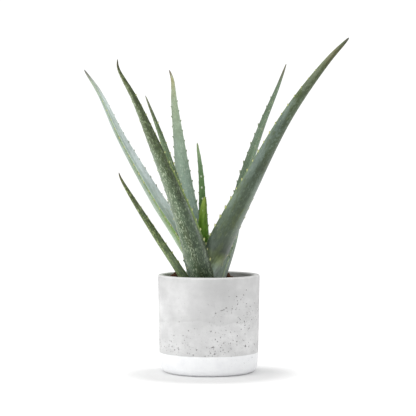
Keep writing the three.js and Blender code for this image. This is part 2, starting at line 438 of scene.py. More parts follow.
leafRules = {
    "pathPoints": 240,
    "stations": 130,  # sections from root to tip
    "around": 44,  # points round a section
    "tipCrowding": 1.7,  # above 1, sections stand closer towards the tip
    "tipRound": 0.4,  # the lower, the rounder the blunt part of a tip
    "edge": 1.15,  # above 1, the margins are keener than an ellipse's ends
    "thinning": 0.8,  # how fast the flesh thins towards the tip, as a power of the width
    "neckEnd": 0.22,  # where a narrow root reaches the leaf's full width
    "ripple": 0.35,  # mm of gentle unevenness
    "lobe": 0.5,  # mm that the margin swells at each tooth
    "toothSpacing": 13.5,
    "toothLowest": 134,  # mm above the ground
    "toothLast": 0.86,  # share of the leaf's length
    "toothLength": 4.2,
    "toothHeight": 2.5,
    "toothThickness": 1.9,
    "toothSunk": 1.1,
    "toothForward": 24,  # degrees that a tooth leans to the tip
    "toothLuck": (0.82, 1.12),
    "seed": 40,
    "rowSpacing": 14.2,  # mm between the white spots of a row
    "rowSpot": (1.9, 0.9),  # mm from a spot's middle to its edge and to its full white
}

# Colours of the horn from its foot to its point, and of its flecks
toothHorns = {
    "toothHorn": ([(0.1, "#78894f"), (0.4, "#afb97c"), (0.7, "#b6b27e"), (0.95, "#86683f")], "#98a266"),
    "toothHornGreen": ([(0.1, "#5f7454"), (0.5, "#7d8f70"), (0.95, "#8a7d5c")], "#6d8262"),
}

# Linear colours that every leaf shares, among them painted shade for the hollow of the inner face, the stripe
# and the bloom on the side away from the light
skinTints = {
    "groove": (0.6, 0.66, 0.55, 1),
    "hollow": (0.6, 0.68, 0.6, 1),
    "shadedSideBloom": (0.27, 0.26, 0.3, 1),
    "stripeRoot": (0.26, 0.32, 0.24, 1),
    "stripeTip": (0.27, 0.33, 0.15, 1),
    "rowSpot": (0.82, 0.88, 0.72, 1),
    "margin": (0.9, 1.0, 0.55, 1),
    "rim": (0.28, 0.4, 0.1, 1),
}

# Each leaf: its midrib in mm, the degrees that its inner face looks to at root and tip, its sizes in mm and
# its shares of form. Colours change with the share of the leaf's length.
leaves = {
    "leaf_low_left": {
        "midrib": [(-19, -7, 100), (-39, -14, 133), (-67, -21, 176), (-110, -29, 246), (-113, -30, 254)],
        "facing": (62, 50), "width": 12, "thickness": 9, "cup": 2.5, "belly": 1.4, "blunt": 0.68,
        "neck": -0.3,
        "outerColor": [(0, "#7d9072"), (0.3, "#697d52"), (0.45, "#566a38"), (0.7, "#43551f"),
                       (0.88, "#525e28"), (0.95, "#6a6c3c"), (0.99, "#5f4a30")],
        "innerColor": [(0, "#6f836c"), (0.8, "#637a57"), (0.95, "#5f4a30")],
        "bloomColor": "#8e9f86", "streak": 0.5, "blotchColor": "#5c5c34", "blotches": 0.35,
        "spotColor": "#a9b880", "spots": 1.0, "innerSpots": 0.3, "spotScale": 270.0, "seed": 1.3,
    },
    "leaf_front_left": {
        "midrib": [(-2, -14, 100), (-28, -34, 190), (-70, -64, 296), (-91, -82, 345), (-110, -88, 381),
                   (-111, -90, 392)],
        "facing": (72, 60), "width": 41, "thickness": 13, "cup": 7, "belly": -0.29, "blunt": 0.25,
        "neck": 0.35, "toothSize": 1.15,
        "outerColor": [(0, "#506449"), (0.3, "#4a6041"), (0.6, "#4e5f3a"), (0.85, "#586437"),
                       (0.95, "#666b36"), (0.99, "#57482e")],
        "innerColor": [(0, "#768a7c"), (0.85, "#667b63"), (0.96, "#5f6334")],
        "bloomColor": "#94a293", "bloom": 0.6, "rim": 0.5, "streak": 0.95, "blotchColor": "#434a1c",
        "blotches": 0.5, "striation": 0.6, "spotColor": "#b0bea2", "spots": 1.0, "innerSpots": 0.3,
        "spotScale": 280.0, "seed": 2.1,
    },
    "leaf_right_front": {
        "midrib": [(-14, -6, 100), (13, -16, 163), (47, -32, 232), (97, -48, 325), (145, -58, 391),
                   (172, -64, 420)],
        "facing": (112, 150), "width": 44, "thickness": 15, "cup": 7, "belly": -0.6, "blunt": 0.57,
        "neck": 0.65, "toothSize": 1.4,
        # Near the root the colour is pale, partly its own and partly painted light against the shade near the
        # soil, then dark around 0.17 to 0.21, a painted shadow of the front leaf
        "outerColor": [(0.06, "#d3e8dc"), (0.1, "#cbe0d0"), (0.13, "#a9b88e"), (0.15, "#6c7a48"),
                       (0.17, "#2e3c22"), (0.21, "#3a4a30"), (0.26, "#4e6046"), (0.36, "#5e6f58"),
                       (0.5, "#627268"), (0.62, "#6d7e75"), (0.75, "#6d7b68"), (0.88, "#6a6e42"),
                       (0.955, "#77632f"), (0.99, "#4f3f2a")],
        "innerColor": [(0, "#768a7c"), (0.85, "#6b7d67"), (0.96, "#655a37")],
        "bloomColor": "#8b9a92", "bloom": 0.45, "streak": 0.9, "streakShift": 0.84, "streakFrom": 0.55,
        "blotchColor": "#55632c", "blotches": 0.75, "spotColor": "#a5aa84", "spots": 0.38, "innerSpots": 0.1,
        "spotScale": 230.0, "seed": 3.7,
    },
    "leaf_far_left": {
        "midrib": [(-1, 6, 100), (-13, 18, 142), (-69, 41, 227), (-114, 56, 302), (-143, 66, 359),
                   (-164, 70, 389)],
        "facing": (-24, -19), "width": 53, "thickness": 11, "cup": 13, "belly": -0.31, "blunt": 0.42,
        "neck": 0.5, "toothSize": 1.4, "greenTeeth": (True, False),
        "outerColor": [(0, "#6f9a12"), (0.22, "#6b991c"), (0.3, "#6d923c"), (0.45, "#728a66"),
                       (0.85, "#7f9384"), (0.94, "#a1ac9c"), (0.975, "#6f6b5a"), (0.99, "#4a3d35")],
        "innerColor": [(0, "#b4c99c"), (0.2, "#d2e4d2"), (0.5, "#deebeb"), (0.85, "#dbe7e4"),
                       (0.94, "#d3dcd2"), (0.975, "#847e6f"), (0.99, "#4a3d35")],
        "bloomColor": "#e2edf0", "bloom": 0.46, "hollow": 0.85, "blotchColor": "#6f8a3c", "blotches": 0.45,
        "spotColor": "#adbd9b", "spots": 0.8, "innerSpots": 0.1, "spotScale": 300.0, "seed": 4.9,
    },
    "leaf_right_back": {
        "midrib": [(4, 8, 100), (26, 26, 169), (40, 40, 234), (68, 55, 315), (91, 67, 369), (102, 72, 397)],
        "facing": (212, 205), "width": 32, "thickness": 9, "cup": 9, "belly": 0.1, "blunt": 0.38, "neck": 0.2,
        "toothSize": 1.8, "greenTeeth": (True, True),
        # Near the root both faces are pale, partly their own colour and partly painted light against the
        # shade of the leaves in front
        "outerColor": [(0.06, "#c3d1ca"), (0.1, "#a6b5aa"), (0.14, "#7d8e80"), (0.18, "#647663"),
                       (0.3, "#4e6b4b"), (0.9, "#576c52"), (0.98, "#655a3c")],
        "innerColor": [(0.06, "#e6efeb"), (0.12, "#cddad0"), (0.2, "#96a997"), (0.34, "#5e7758"),
                       (0.9, "#5d7155"), (0.98, "#655a3c")],
        "bloomColor": "#8a9c90", "streak": 0.2, "blotchColor": "#4b5a30", "blotches": 0.3,
        "spotColor": "#b2c0a4", "spots": 0.6, "innerSpots": 0.45, "seed": 6.2,
    },
    "leaf_left_inner": {
        "midrib": [(-6, 1, 100), (-20, -3, 162), (-57, -12, 290), (-80, -18, 351)],
        "facing": (60, 50), "width": 33, "thickness": 10, "cup": 5, "belly": -0.58, "blunt": 0.29,
        "neck": 0.4, "toothSize": 1.3,
        "outerColor": [(0, "#7c9a3c"), (0.3, "#67824c"), (0.45, "#5e7954"), (0.85, "#5d7350"),
                       (0.97, "#5b5739")],
        "innerColor": [(0, "#768a7c"), (0.85, "#667b63"), (0.97, "#5b5739")],
        "bloomColor": "#84967f", "streak": 0.3, "blotchColor": "#55652f", "blotches": 0.35,
        "spotColor": "#a2b18a", "spots": 0.75, "spotScale": 300.0, "seed": 7.7,
    },
    "leaf_back": {
        "midrib": [(-7, 11, 100), (-27, 28, 205), (-39, 42, 295), (-45, 52, 343), (-48, 58, 376),
                   (-52, 60, 388)],
        "facing": (-85, -85), "width": 45, "thickness": 9, "cup": 5, "belly": -0.6, "blunt": 0.27,
        "neck": 0.5, "toothSize": 1.3, "greenTeeth": (True, True),
        "outerColor": [(0, "#687c5e"), (0.5, "#657862"), (0.9, "#758259"), (0.99, "#674d49")],
        "innerColor": [(0, "#84998d"), (0.35, "#869b91"), (0.65, "#90a48f"), (0.86, "#a1ae8f"),
                       (0.96, "#aaa676"), (0.995, "#674d49")],
        "bloomColor": "#a4b4a9", "bloom": 0.42, "blotchColor": "#7d9069", "blotches": 0.7, "striation": 0.6,
        "spotColor": "#c0cdba", "innerSpots": 0.62, "seed": 9.4,
    },
    "leaf_centre": {
        "midrib": [(-4, 4, 100), (-7, 8, 176), (-10, 10, 251), (-15, 13, 292)],
        "facing": (-80, -80), "width": 17, "thickness": 7, "cup": 4, "belly": -0.6, "blunt": 0.65,
        "neck": 0.3,
        "outerColor": [(0, "#426a17"), (0.5, "#5d8a40"), (0.9, "#75935a"), (0.99, "#7f8c5c")],
        "innerColor": [(0.15, "#3a6a0a"), (0.42, "#487a26"), (0.62, "#4f7834"), (0.75, "#5a8044"),
                       (0.86, "#688560"), (0.94, "#93ac80"), (0.99, "#98a478")],
        "bloomColor": "#97af86", "bloom": 0.25, "blotchColor": "#4b7c2c", "striation": 0.4,
        "spotColor": "#cfdcc0", "spotScale": 230.0, "spotRow": 0.95, "seed": 11.2,
    },
    "leaf_bud": {
        "midrib": [(-4, 0, 100), (-7, 1, 168), (-7, 1, 203), (-5, 1, 223)],
        "facing": (90, 90), "width": 22, "thickness": 6, "cup": 3, "belly": 0.5, "blunt": 0.85, "neck": 0.55,
        "toothSize": 1.3,
        "outerColor": [(0.1, "#4c8200"), (0.5, "#619a06"), (0.8, "#86ae38"), (0.99, "#95a84a")],
        "innerColor": [(0.1, "#4f7d24"), (0.8, "#759b45"), (0.99, "#93a258")],
        "bloomColor": "#88aa4c", "bloom": 0.12, "streak": 0.6, "blotchColor": "#3f7500", "striation": 0.4,
        "spotColor": "#c6d8a8", "spots": 0.35, "spotScale": 250.0, "seed": 13.8,
    },
}


def waxSpots(ins, skin, inner):
    # Pale dashes of wax, longer than wide, standing in loose clusters
    patch = noiseOf(stretched(skin, (1.6, 1.6, 1.6)), 75.0, 2.0)
    amount = feed("ShaderNodeMix", {"Factor": inner, "A": ins["Spots"], "B": ins["Inner Spots"]})[0]
    crowd = times(timesPlus(ease(patch, 0.3, 0.6), 0.45, 0.55), amount)
    wander = scaled(driftOf(skin, 260.0), 1.2 * mm)
    spots = 0.0
    for stretch, scale, share in ((4.4, 0.55, 0.9), (3.4, 1.05, 0.8)):
        bent = moved(stretched(skin, (1, stretch, stretch)), wander)
        distance, dice = cellsOf(bent, times(ins["Spot Scale"], scale))
        size = times(ease(minus(crowd, times(dice, share)), -0.1, 0.6), 0.4)
        dash = ease(minus(size, distance), -0.02, 0.12)
        spots = greater(times(dash, share), spots)
    return spots


def paintedShadeStripe(ins, turned, outer, brim, smear, mottle):
    # A broad dark stripe down the outer face, off its middle: partly the leaf's own olive streak, mostly
    # painted shade on the side away from the light, and paler, a painted light, where the face turns away
    across = timesPlus(minus(smear, 0.5), 0.7, turned)
    ridge = timesPlus(ins["Streak Shift"], -0.2, turned)
    young = ease(ins["Growth"], 0.56, 0.38)
    pale = times(ease(ridge, 0.68, 0.92), timesPlus(brim, -1.0, 1.0), young)
    stripe = times(ease(across, -0.12, 0.5), timesPlus(pale, -0.85, 1.0))
    grown = timesPlus(ease(ins["Growth"], 0.02, ins["Streak From"]), 0.55, 0.45)
    stripe = times(times(stripe, ins["Streak"]), times(outer, grown))
    return calc("MULTIPLY", stripe, timesPlus(ease(mottle, 0.5, 0.62), -0.4, 1.05), clamp=True)


def spotRow(ins, parts):
    # Round white spots in a row down the middle, evenly spaced
    spacing = leafRules["rowSpacing"] * mm
    beat = times(minus(calc("FRACT", calc("DIVIDE", parts["X"], spacing)), 0.5), spacing)
    away = lengthOf(vectorOf(beat, times(parts["Y"], 1.7)))
    return times(ins["Spot Row"], ease(ins["Growth"], 0.84, 0.74), easeOver(away, leafRules["rowSpot"]))


def greenRim(ins, side, outer):
    # A fresh green line along one margin of the outer face, in the middle of the leaf's length
    share = times(ease(ins["Growth"], 0.2, 0.28), ease(ins["Growth"], 0.62, 0.52), ins["Rim"])
    return times(share, times(ease(side, 0.89, 0.95), outer))


def makeSkinGroup():
    # Waxy skin on a leaf's own coordinates: metres along, across and through it, with painted shade and sheen
    inputs = {
        "Skin": "Vector", "Edge": 0.0, "Inside": 0.0, "Growth": 0.5, "Grazing": 0.0,
        "Outer Color": (0.2, 0.3, 0.2, 1.0), "Inner Color": (0.3, 0.4, 0.3, 1.0),
        "Bloom Color": (0.5, 0.6, 0.55, 1.0), "Bloom": 0.4, "Hollow": 0.0, "Rim": 0.0,
        "Streak": 0.1, "Streak Shift": 0.0, "Streak From": 0.24,
        "Blotch Color": (0.12, 0.13, 0.05, 1.0), "Blotches": 0.4, "Striation": 0.5,
        "Spot Color": (0.6, 0.7, 0.55, 1.0), "Spots": 0.5, "Inner Spots": 0.2, "Spot Scale": 290.0,
        "Spot Row": 0.0, "Seed": 0.0,
    }
    outputs = {"Color": "Color", "Roughness": "Float", "Height": "Float"}
    tree, ins, outs = newGroup("ShaderNodeTree", "aloeSkin", inputs, outputs)
    growth, edge = ins["Growth"], ins["Edge"]
    skin = moved(ins["Skin"], vectorOf(ins["Seed"], times(ins["Seed"], 0.7)))
    parts = partsOf(ins["Skin"])
    inner = ease(ins["Inside"], -0.12, 0.12)
    outer = oneMinus(inner)
    side = times(edge, calc("SIGN", parts["Y"]))  # -1 to 1 across the leaf
    turned = plus(side, ins["Streak Shift"])
    # Painted shade along the margin of the outer face that is turned from the light
    brim = times(ease(side, 0.82, 0.95), outer)  # the dark margin of the outer face

    cloud = noiseOf(stretched(skin, (1, 2.2, 2.2)), 26.0, 4.0)
    smear = noiseOf(stretched(skin, (1, 3.5, 3.5)), 33.0, 5.0, 0.6)
    mottle = noiseOf(stretched(skin, (1, 1.8, 1.8)), 230.0, 3.0, 0.6)
    lines = noiseOf(stretched(skin, (1, 10, 10)), 150.0, 4.0, 0.6)

    # The flesh: cloudy green, with blotches and fine grooves
    color = blendColor(inner, ins["Outer Color"], ins["Inner Color"])
    color = blendColor(1.0, color, timesPlus(cloud, 0.9, timesPlus(mottle, 0.7, 0.2)), "MULTIPLY")
    blotches = times(ins["Blotches"], timesPlus(inner, -0.6, 1.0), ease(smear, 0.5, 0.64))
    color = blendColor(blotches, color, ins["Blotch Color"])
    color = tinted(times(ease(lines, 0.62, 0.3), ins["Striation"]), color, skinTints["groove"])

    # The wax over it, thicker towards the margins, partly as painted light where the face rounds off, with a
    # painted sheen where it is seen at a slant
    uneven = ease(plus(cloud, times(lines, 0.35)), 0.45, 0.9)
    waxAndEdgeLight = times(timesPlus(ease(edge, 0.1, 0.9), 0.65, 0.35), uneven)
    waxAndSheen = calc("MULTIPLY", timesPlus(ins["Grazing"], 0.5, waxAndEdgeLight), ins["Bloom"], clamp=True)
    waxAndSheen = times(waxAndSheen, timesPlus(brim, -0.8, 1.0))
    # Painted shade: the bloom turns purple-grey on the side away from the light
    bloom = blendColor(times(ease(turned, 0.4, 0.9), 0.6), ins["Bloom Color"], skinTints["shadedSideBloom"])
    color = blendColor(waxAndSheen, color, bloom)
    # Painted shade in the hollow of the inner face
    color = tinted(times(inner, ins["Hollow"], ease(edge, 0.42, 0.1)), color, skinTints["hollow"])

    # The markings, and a stripe of painted shade
    spots = waxSpots(ins, skin, inner)
    # Painted shade: the spots show less on the side away from the light
    worn = times(ease(turned, 0.25, 0.6), outer, ins["Streak"])
    color = blendColor(times(spots, timesPlus(worn, -0.3, 0.9)), color, ins["Spot Color"])
    olive = blendColor(ease(growth, 0.3, 0.6), skinTints["stripeRoot"], skinTints["stripeTip"])
    color = tinted(paintedShadeStripe(ins, turned, outer, brim, smear, mottle), color, olive)
    color = blendColor(spotRow(ins, parts), color, skinTints["rowSpot"])
    color = tinted(times(ease(edge, 0.95, 0.995), 0.75), color, skinTints["margin"])
    fill(outs["Color"], blendColor(greenRim(ins, side, outer), color, skinTints["rim"]))

    fill(outs["Roughness"], timesPlus(waxAndSheen, 0.2, timesPlus(lines, 0.1, 0.36)))
    relief = timesPlus(spots, 0.45, times(lines, 0.55))
    fill(outs["Height"], timesPlus(grainOf(skin, 1500.0)["Height"], 0.12, relief))
    return tree


def makeLeafSkin(name, leaf):
    material, tree, shader = newMaterial(name, specular=0.42)
    growth = attributeOf(tree, "growth")
    # Painted sheen where the skin is seen at a slant
    grazing = put(tree, "ShaderNodeLayerWeight", {"Blend": 0.35}).outputs["Facing"]
    values = {
        "Skin": attributeOf(tree, "skin", "Vector"), "Edge": attributeOf(tree, "edge"),
        "Inside": attributeOf(tree, "inside"), "Growth": growth, "Grazing": ease(grazing, 0.25, 0.95),
    }
    skin = put(tree, "ShaderNodeGroup", values, node_tree=skinGroup)
    for key, value in leaf.items():
        if labelOf(key) in skin.inputs:
            if isinstance(value, list):
                value = rampOf(value, growth)
            elif isinstance(value, str):
                value = paint(value)
            fill(skin.inputs[labelOf(key)], value)
    color, rough, relief = (skin.outputs[label] for label in ("Color", "Roughness", "Height"))
    finishMaterial(shader, color, rough, relief, 0.35 * mm, 0.5)
    return material


def makeToothHorn(name, stops, fleck):
    # Horn, greener where it leaves the margin and amber at the point
    material, tree, shader = newMaterial(name)
    grain = grainOf(objectPlace(tree), 2500.0)
    horn = rampOf(stops, attributeOf(tree, "thorn"))
    color = blendColor(times(grain["Mask"], 0.2), horn, paint(fleck))
    finishMaterial(shader, color, timesPlus(grain["Mask"], 0.15, 0.38), grain["Height"], 0.1 * mm, 0.4)
    return material


def smoothPath(points, count):
    # Evenly spaced points on the centripetal curve through the given ones
    given = [np.array(p, float) for p in points]
    given = [2 * given[0] - given[1], *given, 2 * given[-1] - given[-2]]
    dense = []
    for a, b, c, d in zip(given, given[1:], given[2:], given[3:]):
        ab, bc, cd = (math.dist(p, q) ** 0.5 for p, q in ((a, b), (b, c), (c, d)))
        start = ((b - a) / ab - (c - a) / (ab + bc) + (c - b) / bc) * bc
        end = ((c - b) / bc - (d - b) / (bc + cd) + (d - c) / cd) * bc
        for t in np.arange(0, 1, 1 / 200):
            dense.append(b + start * t + (3 * (c - b) - 2 * start - end) * t * t
                         + (2 * (b - c) + start + end) * t ** 3)
    dense = np.array([*dense, given[-2]])
    walked = np.concatenate([[0], np.cumsum(np.linalg.norm(np.diff(dense, axis=0), axis=1))])
    evenly = np.linspace(0, walked[-1], count)
    return np.stack([np.interp(evenly, walked, dense[:, k]) for k in range(3)], axis=1)


def sampleMidrib(midrib, share):
    sample = feed("GeometryNodeSampleCurve", {"Curves": midrib, "Factor": share}, mode="FACTOR")
    return sample["Position"], sample["Tangent"]


def bladeFrame(ins, share, forward):
    # The directions across and out of the inner face, and the share of the full width
    turn = minus(ins["Facing Tip"], ins["Facing Root"])
    look = calc("RADIANS", timesPlus(turn, share, ins["Facing Root"]))
    flat = vectorOf(calc("COSINE", look), calc("SINE", look))
    lean = scaled(forward, vectorCalc("DOT_PRODUCT", flat, forward))
    inner = vectorCalc("NORMALIZE", vectorCalc("SUBTRACT", flat, lean))
    across = vectorCalc("CROSS_PRODUCT", inner, forward)
    left = greater(oneMinus(share), 0.0)
    missing = greater(oneMinus(calc("DIVIDE", share, leafRules["neckEnd"])), 0.0)
    neck = oneMinus(times(ins["Neck"], calc("POWER", missing, 1.5)))
    body = times(oneMinus(ins["Blunt"]), times(left, timesPlus(ins["Belly"], share, 1.0)))
    body = timesPlus(ins["Blunt"], calc("POWER", left, leafRules["tipRound"]), body)
    return inner, across, times(neck, body)


def toothedBlade(ins, midrib, toothCount):
    # Crescent sections along the midrib, with the places on the skin kept for its material
    tree = midrib.id_data
    spine = geo("ResampleCurve", {"Curve": midrib, "Count": leafRules["stations"]})
    share = oneMinus(calc("POWER", oneMinus(source(tree, "SplineParameter")), leafRules["tipCrowding"]))
    place, forward = sampleMidrib(midrib, share)
    spine, share, place, forward = capture(spine, [
        ("FLOAT", "share", share), ("VECTOR", "place", place), ("VECTOR", "forward", forward)])
    ring = source(tree, "CurvePrimitiveCircle", {"Resolution": leafRules["around"], "Radius": mm})
    angle = times(source(tree, "InputIndex"), 2 * math.pi / leafRules["around"])
    ring, angle = capture(ring, [("FLOAT", "angle", angle)])
    blade = geo("CurveToMesh", {"Curve": spine, "Profile Curve": ring, "Fill Caps": True})

    inner, across, full = bladeFrame(ins, share, forward)
    cosine, swell = calc("COSINE", angle), calc("SINE", angle)
    rim, side = calc("ABSOLUTE", cosine), calc("SIGN", cosine)
    bulk = calc("ABSOLUTE", swell)
    flesh = calc("POWER", full, leafRules["thinning"])
    beat = minus(times(share, toothCount), times(side, 0.25))
    beat = greater(calc("COSINE", times(beat, 2 * math.pi)), 0.0)
    atTooth = times(calc("POWER", beat, 3.0), calc("POWER", rim, 12.0))
    lobe = times(atTooth, times(ins["Lobe"], calc("SQRT", full)))
    off = timesPlus(times(ins["Width"], 0.5, full), cosine, times(lobe, side))
    thick = times(ins["Thickness"], 0.5, flesh)
    bulge = times(thick, calc("SIGN", swell), calc("POWER", bulk, leafRules["edge"]))
    sag = times(times(ins["Cup"], full), times(swell, swell))
    along = times(share, geo("CurveLength", {"Curve": midrib}))
    skin = vectorOf(along, off, bulge)
    wave = noiseOf(moved(stretched(skin, (1, 4, 4)), vectorOf(ins["Seed"])), 28.0, 2.0)
    wave = times(minus(wave, 0.5), 2.0)
    rise = plus(minus(bulge, sag), times(wave, times(ins["Ripple"], times(flesh, bulk))))
    spot = moved(place, scaled(across, off), scaled(inner, rise))
    blade = geo("SetPosition", {"Geometry": blade, "Position": spot})
    for name, value in (("growth", share), ("edge", rim), ("inside", swell), ("thorn", 0.0)):
        blade = store(blade, name, "FLOAT", value)
    blade = store(blade, "skin", "FLOAT_VECTOR", skin)
    blade = geo("MergeByDistance", {"Geometry": blade, "Distance": 4e-6})
    return dressed(blade, ins["Skin"])


def toothShape(tree):
    # A hooked spike with a broad flat foot: height along Z, leaning to +X
    cone = {"Vertices": 10, "Side Segments": 6, "Radius Bottom": 1.0, "Depth": 1.0}
    parts = partsOf(source(tree, "InputPosition"))
    slim = calc("POWER", greater(oneMinus(parts["Z"]), 0.02), -0.12)
    hook = times(parts["Z"], parts["Z"], 0.3)
    x = timesPlus(times(parts["X"], slim), 0.5, hook)
    y = times(parts["Y"], slim, 0.5)
    place = vectorOf(x, y, parts["Z"])
    shape = geo("SetPosition", {"Geometry": source(tree, "MeshCone", cone), "Position": place})
    return store(shape, "thorn", "FLOAT", greater(parts["Z"], 0.02))


def toothRow(ins, midrib, count, edge, horn):
    tree = midrib.id_data
    share = calc("DIVIDE", plus(source(tree, "InputIndex"), 1 + 0.25 * edge), count)
    place, forward = sampleMidrib(midrib, share)
    inner, across, full = bladeFrame(ins, share, forward)
    half = times(ins["Width"], 0.5, full)
    sunk = calc("MINIMUM", leafRules["toothSunk"] * mm, times(half, 0.4))
    inset = oneMinus(calc("DIVIDE", sunk, half))
    sag = times(ins["Cup"], full, oneMinus(times(inset, inset)))
    out = scaled(across, edge)
    foot = vectorCalc("SUBTRACT", moved(place, scaled(out, minus(half, sunk))), scaled(inner, sag))
    points = geo("Points", {"Count": count, "Position": foot})

    # Where the leaf is hollowed its margins stand up, and the teeth with them
    lean = scaled(forward, math.tan(math.radians(leafRules["toothForward"])))
    curl = calc("DIVIDE", times(ins["Cup"], 3.2), ins["Width"])
    axes = {"Primary Axis": moved(out, lean, scaled(inner, curl)), "Secondary Axis": forward}
    turn = feed("FunctionNodeAxesToRotation", axes, primary_axis="Z", secondary_axis="X")[0]

    luck = randomOf(*leafRules["toothLuck"], ins["Seed"])
    shrink = times(timesPlus(oneMinus(share), 0.45, 0.55), luck, ins["Tooth Size"])
    length, thickness = (times(shrink, leafRules[key] * mm) for key in ("toothLength", "toothThickness"))
    size = vectorOf(length, thickness, timesPlus(shrink, leafRules["toothHeight"] * mm, sunk))
    high = above(partsOf(place)["Z"], leafRules["toothLowest"] * mm)
    grows = logic("AND", high, below(share, leafRules["toothLast"]))
    return dressed(copiesOn(points, toothShape(tree), turn, size, grows), horn)


def makeLeafTree():
    # A blade along the midrib, with teeth along both margins
    tree, ins, outs = newShapeTree("toothedLeaf", {
        "Width": 0.04, "Thickness": 0.012, "Cup": 0.007, "Belly": 0.3, "Blunt": 0.1, "Neck": 0.3,
        "Facing Root": 0.0, "Facing Tip": 0.0, "Ripple": 0.0003, "Lobe": 0.0003,
        "Tooth Spacing": 0.0135, "Tooth Size": 1.1, "Seed": 0,
        "Skin": "Material", "First Teeth": "Material", "Second Teeth": "Material",
    })
    midrib = geo("MeshToCurve", {"Mesh": ins["Geometry"]})
    length = geo("CurveLength", {"Curve": midrib})
    toothCount = calc("ROUND", calc("DIVIDE", length, ins["Tooth Spacing"]))
    margins = ((-1.0, "First Teeth"), (1.0, "Second Teeth"))
    teeth = [toothRow(ins, midrib, toothCount, edge, ins[horn]) for edge, horn in margins]
    leaf = joined([*teeth, toothedBlade(ins, midrib, toothCount)])
    fill(outs["Geometry"], geo("SetShadeSmooth", {"Geometry": leaf}))
    return tree


def makeLeaves():
    tree = makeLeafTree()
    horns = [makeToothHorn(name, *colors) for name, colors in toothHorns.items()]
    for number, (node, leaf) in enumerate(leaves.items()):
        path = smoothPath(leaf["midrib"], leafRules["pathPoints"]) * mm
        mesh = bpy.data.meshes.new("midrib")
        mesh.from_pydata([tuple(p) for p in path], [(i, i + 1) for i in range(len(path) - 1)], [])
        host = linkObject("midrib", mesh)
        values = {labelOf(key): value for key, value in leaf.items()}
        values.update({labelOf(key): leaf[key] * mm for key in ("width", "thickness", "cup")})
        values.update({labelOf(key): leafRules[key] * mm for key in ("ripple", "lobe", "toothSpacing")})
        values["Facing Root"], values["Facing Tip"] = map(float, leaf["facing"])
        values["Seed"] = leafRules["seed"] + number
        values["Skin"] = makeLeafSkin(node + "_skin", leaf)
        first, second = leaf.get("greenTeeth", (False, False))
        values["First Teeth"], values["Second Teeth"] = horns[first], horns[second]
        addModifier(host, tree, values)
        blade = settle(host, "aloe_" + node)
        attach(blade, "root")
        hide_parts(node)
        print("leaf", node, len(blade.data.polygons), "faces")


# Pot

potSettings = {
    "height": 124, "rimRadius": 65, "bandRadius": 63.4, "bandHeight": 25.5, "footRadius": 62.2,
    "footRound": 10, "wall": 7.4, "floor": 10, "rimRound": 2,
    "segments": 224, "wallRows": 44, "paintProud": 0.12, "unevenness": 0.16,
    "bandRagged": 0.9, "bandEdge": (0.3, -0.1),  # how far the paint's edge wanders, and its softness
    "pits": 1100, "pitWall": (29, 110),  # how many there are on the wall between these heights
    "pitSizes": {"smallest": 0.34, "largest": 0.95},
    "pitRange": {"lowest": 12, "highest": 110, "outside": 61.5},  # two heights and a radius
    "pitSeed": 5,
    "pitSides": (-30, 40), "pitLine": (55, 100),  # the height that most stay under, from left to right
    "pitFade": 12,  # how far above and below that line they thin out
    "paintedPits": (10, 35), "barePits": (25.5, 28),  # across the band and up from it, where more are open
    # Painted shade inside the pits
    "pitShade": 0.45,  # how much darker the pits are inside
    "pourHeight": 82.5,  # where one pour met the next
    "jointStart": (-1.2, 0.8), "jointEnd": (14, 1),  # its mark, up from that height
    # A grey patch on the front below the rim, darker towards its middle
    "greyPatchPlace": (8, -64, 100), "greyPatchReach": (52, 20),  # from its edge to its full grey
    # The second pair of heights is where the painted highlight along the rim's top sets in and is full
    "upperFrom": (80, 115), "rimHighlightFrom": (122.6, 123.8),  # heights at which these marks set in and are full
    "poresUnder": (105, 55),
}

# Share and colour of each mark on the bare concrete, laid on in this order; the palest, at the rim's top, is
# a painted highlight
concreteMarks = {
    "joint": (0.3, "#a9aaa9"),
    "upper": (0.32, "#adadad"),
    "greyPatch": (0.42, "#adadad"),
    "worn": (0.6, "#f2f2f1"),
    "grain": (0.16, "#b3b3b1"),
    "pores": (0.55, "#84827f"),
}
concreteTones = [(0.4, "#c5c5c5"), (0.52, "#d3d3d3"), (0.64, "#e4e4e4")]
paintTones = [(0.3, "#f0f1f3"), (0.6, "#f7f8f9")]


def quarter(x, y, radius, first, last, steps):
    angles = np.radians(np.linspace(first, last, steps + 1))
    return [(x + radius * math.cos(a), y + radius * math.sin(a)) for a in angles]


def potProfile():
    # Radius and height from the middle of the underside, up the outside and down the inside
    p = potSettings
    top, rim, foot, band = p["height"], p["rimRadius"], p["footRadius"], p["bandHeight"]
    footRound, rimRound = p["footRound"], p["rimRound"]
    slope = (rim - p["bandRadius"]) / (top - band)
    outline = [(foot - footRound * k / 6, 0) for k in range(24, 6, -3)]
    outline += quarter(foot - footRound, footRound, footRound, -90, 0, 12)
    for z in np.linspace(footRound + 3, band - 0.5, 6):
        share = (z - footRound) / (band - footRound)
        outline.append((foot + (p["bandRadius"] - foot) * share + p["paintProud"], z))
    outline.append((p["bandRadius"], band + 0.2))
    for z in np.linspace(band + 2, top - rimRound - 1, p["wallRows"]):
        outline.append((p["bandRadius"] + slope * (z - band), z))
    outline += quarter(rim - rimRound, top - rimRound, rimRound, 0, 90, 6)
    mouth = rim - p["wall"]
    outline += quarter(mouth + rimRound, top - rimRound, rimRound, 90, 180, 6)
    bottom = p["bandRadius"] - slope * (band - p["floor"]) - p["wall"]
    for z in np.linspace(top - 6, p["floor"] + 6, 12):
        outline.append((mouth + (bottom - mouth) * (top - z) / (top - p["floor"]), z))
    outline += quarter(bottom - rimRound, p["floor"] + rimRound, rimRound, 0, -90, 4)
    return outline


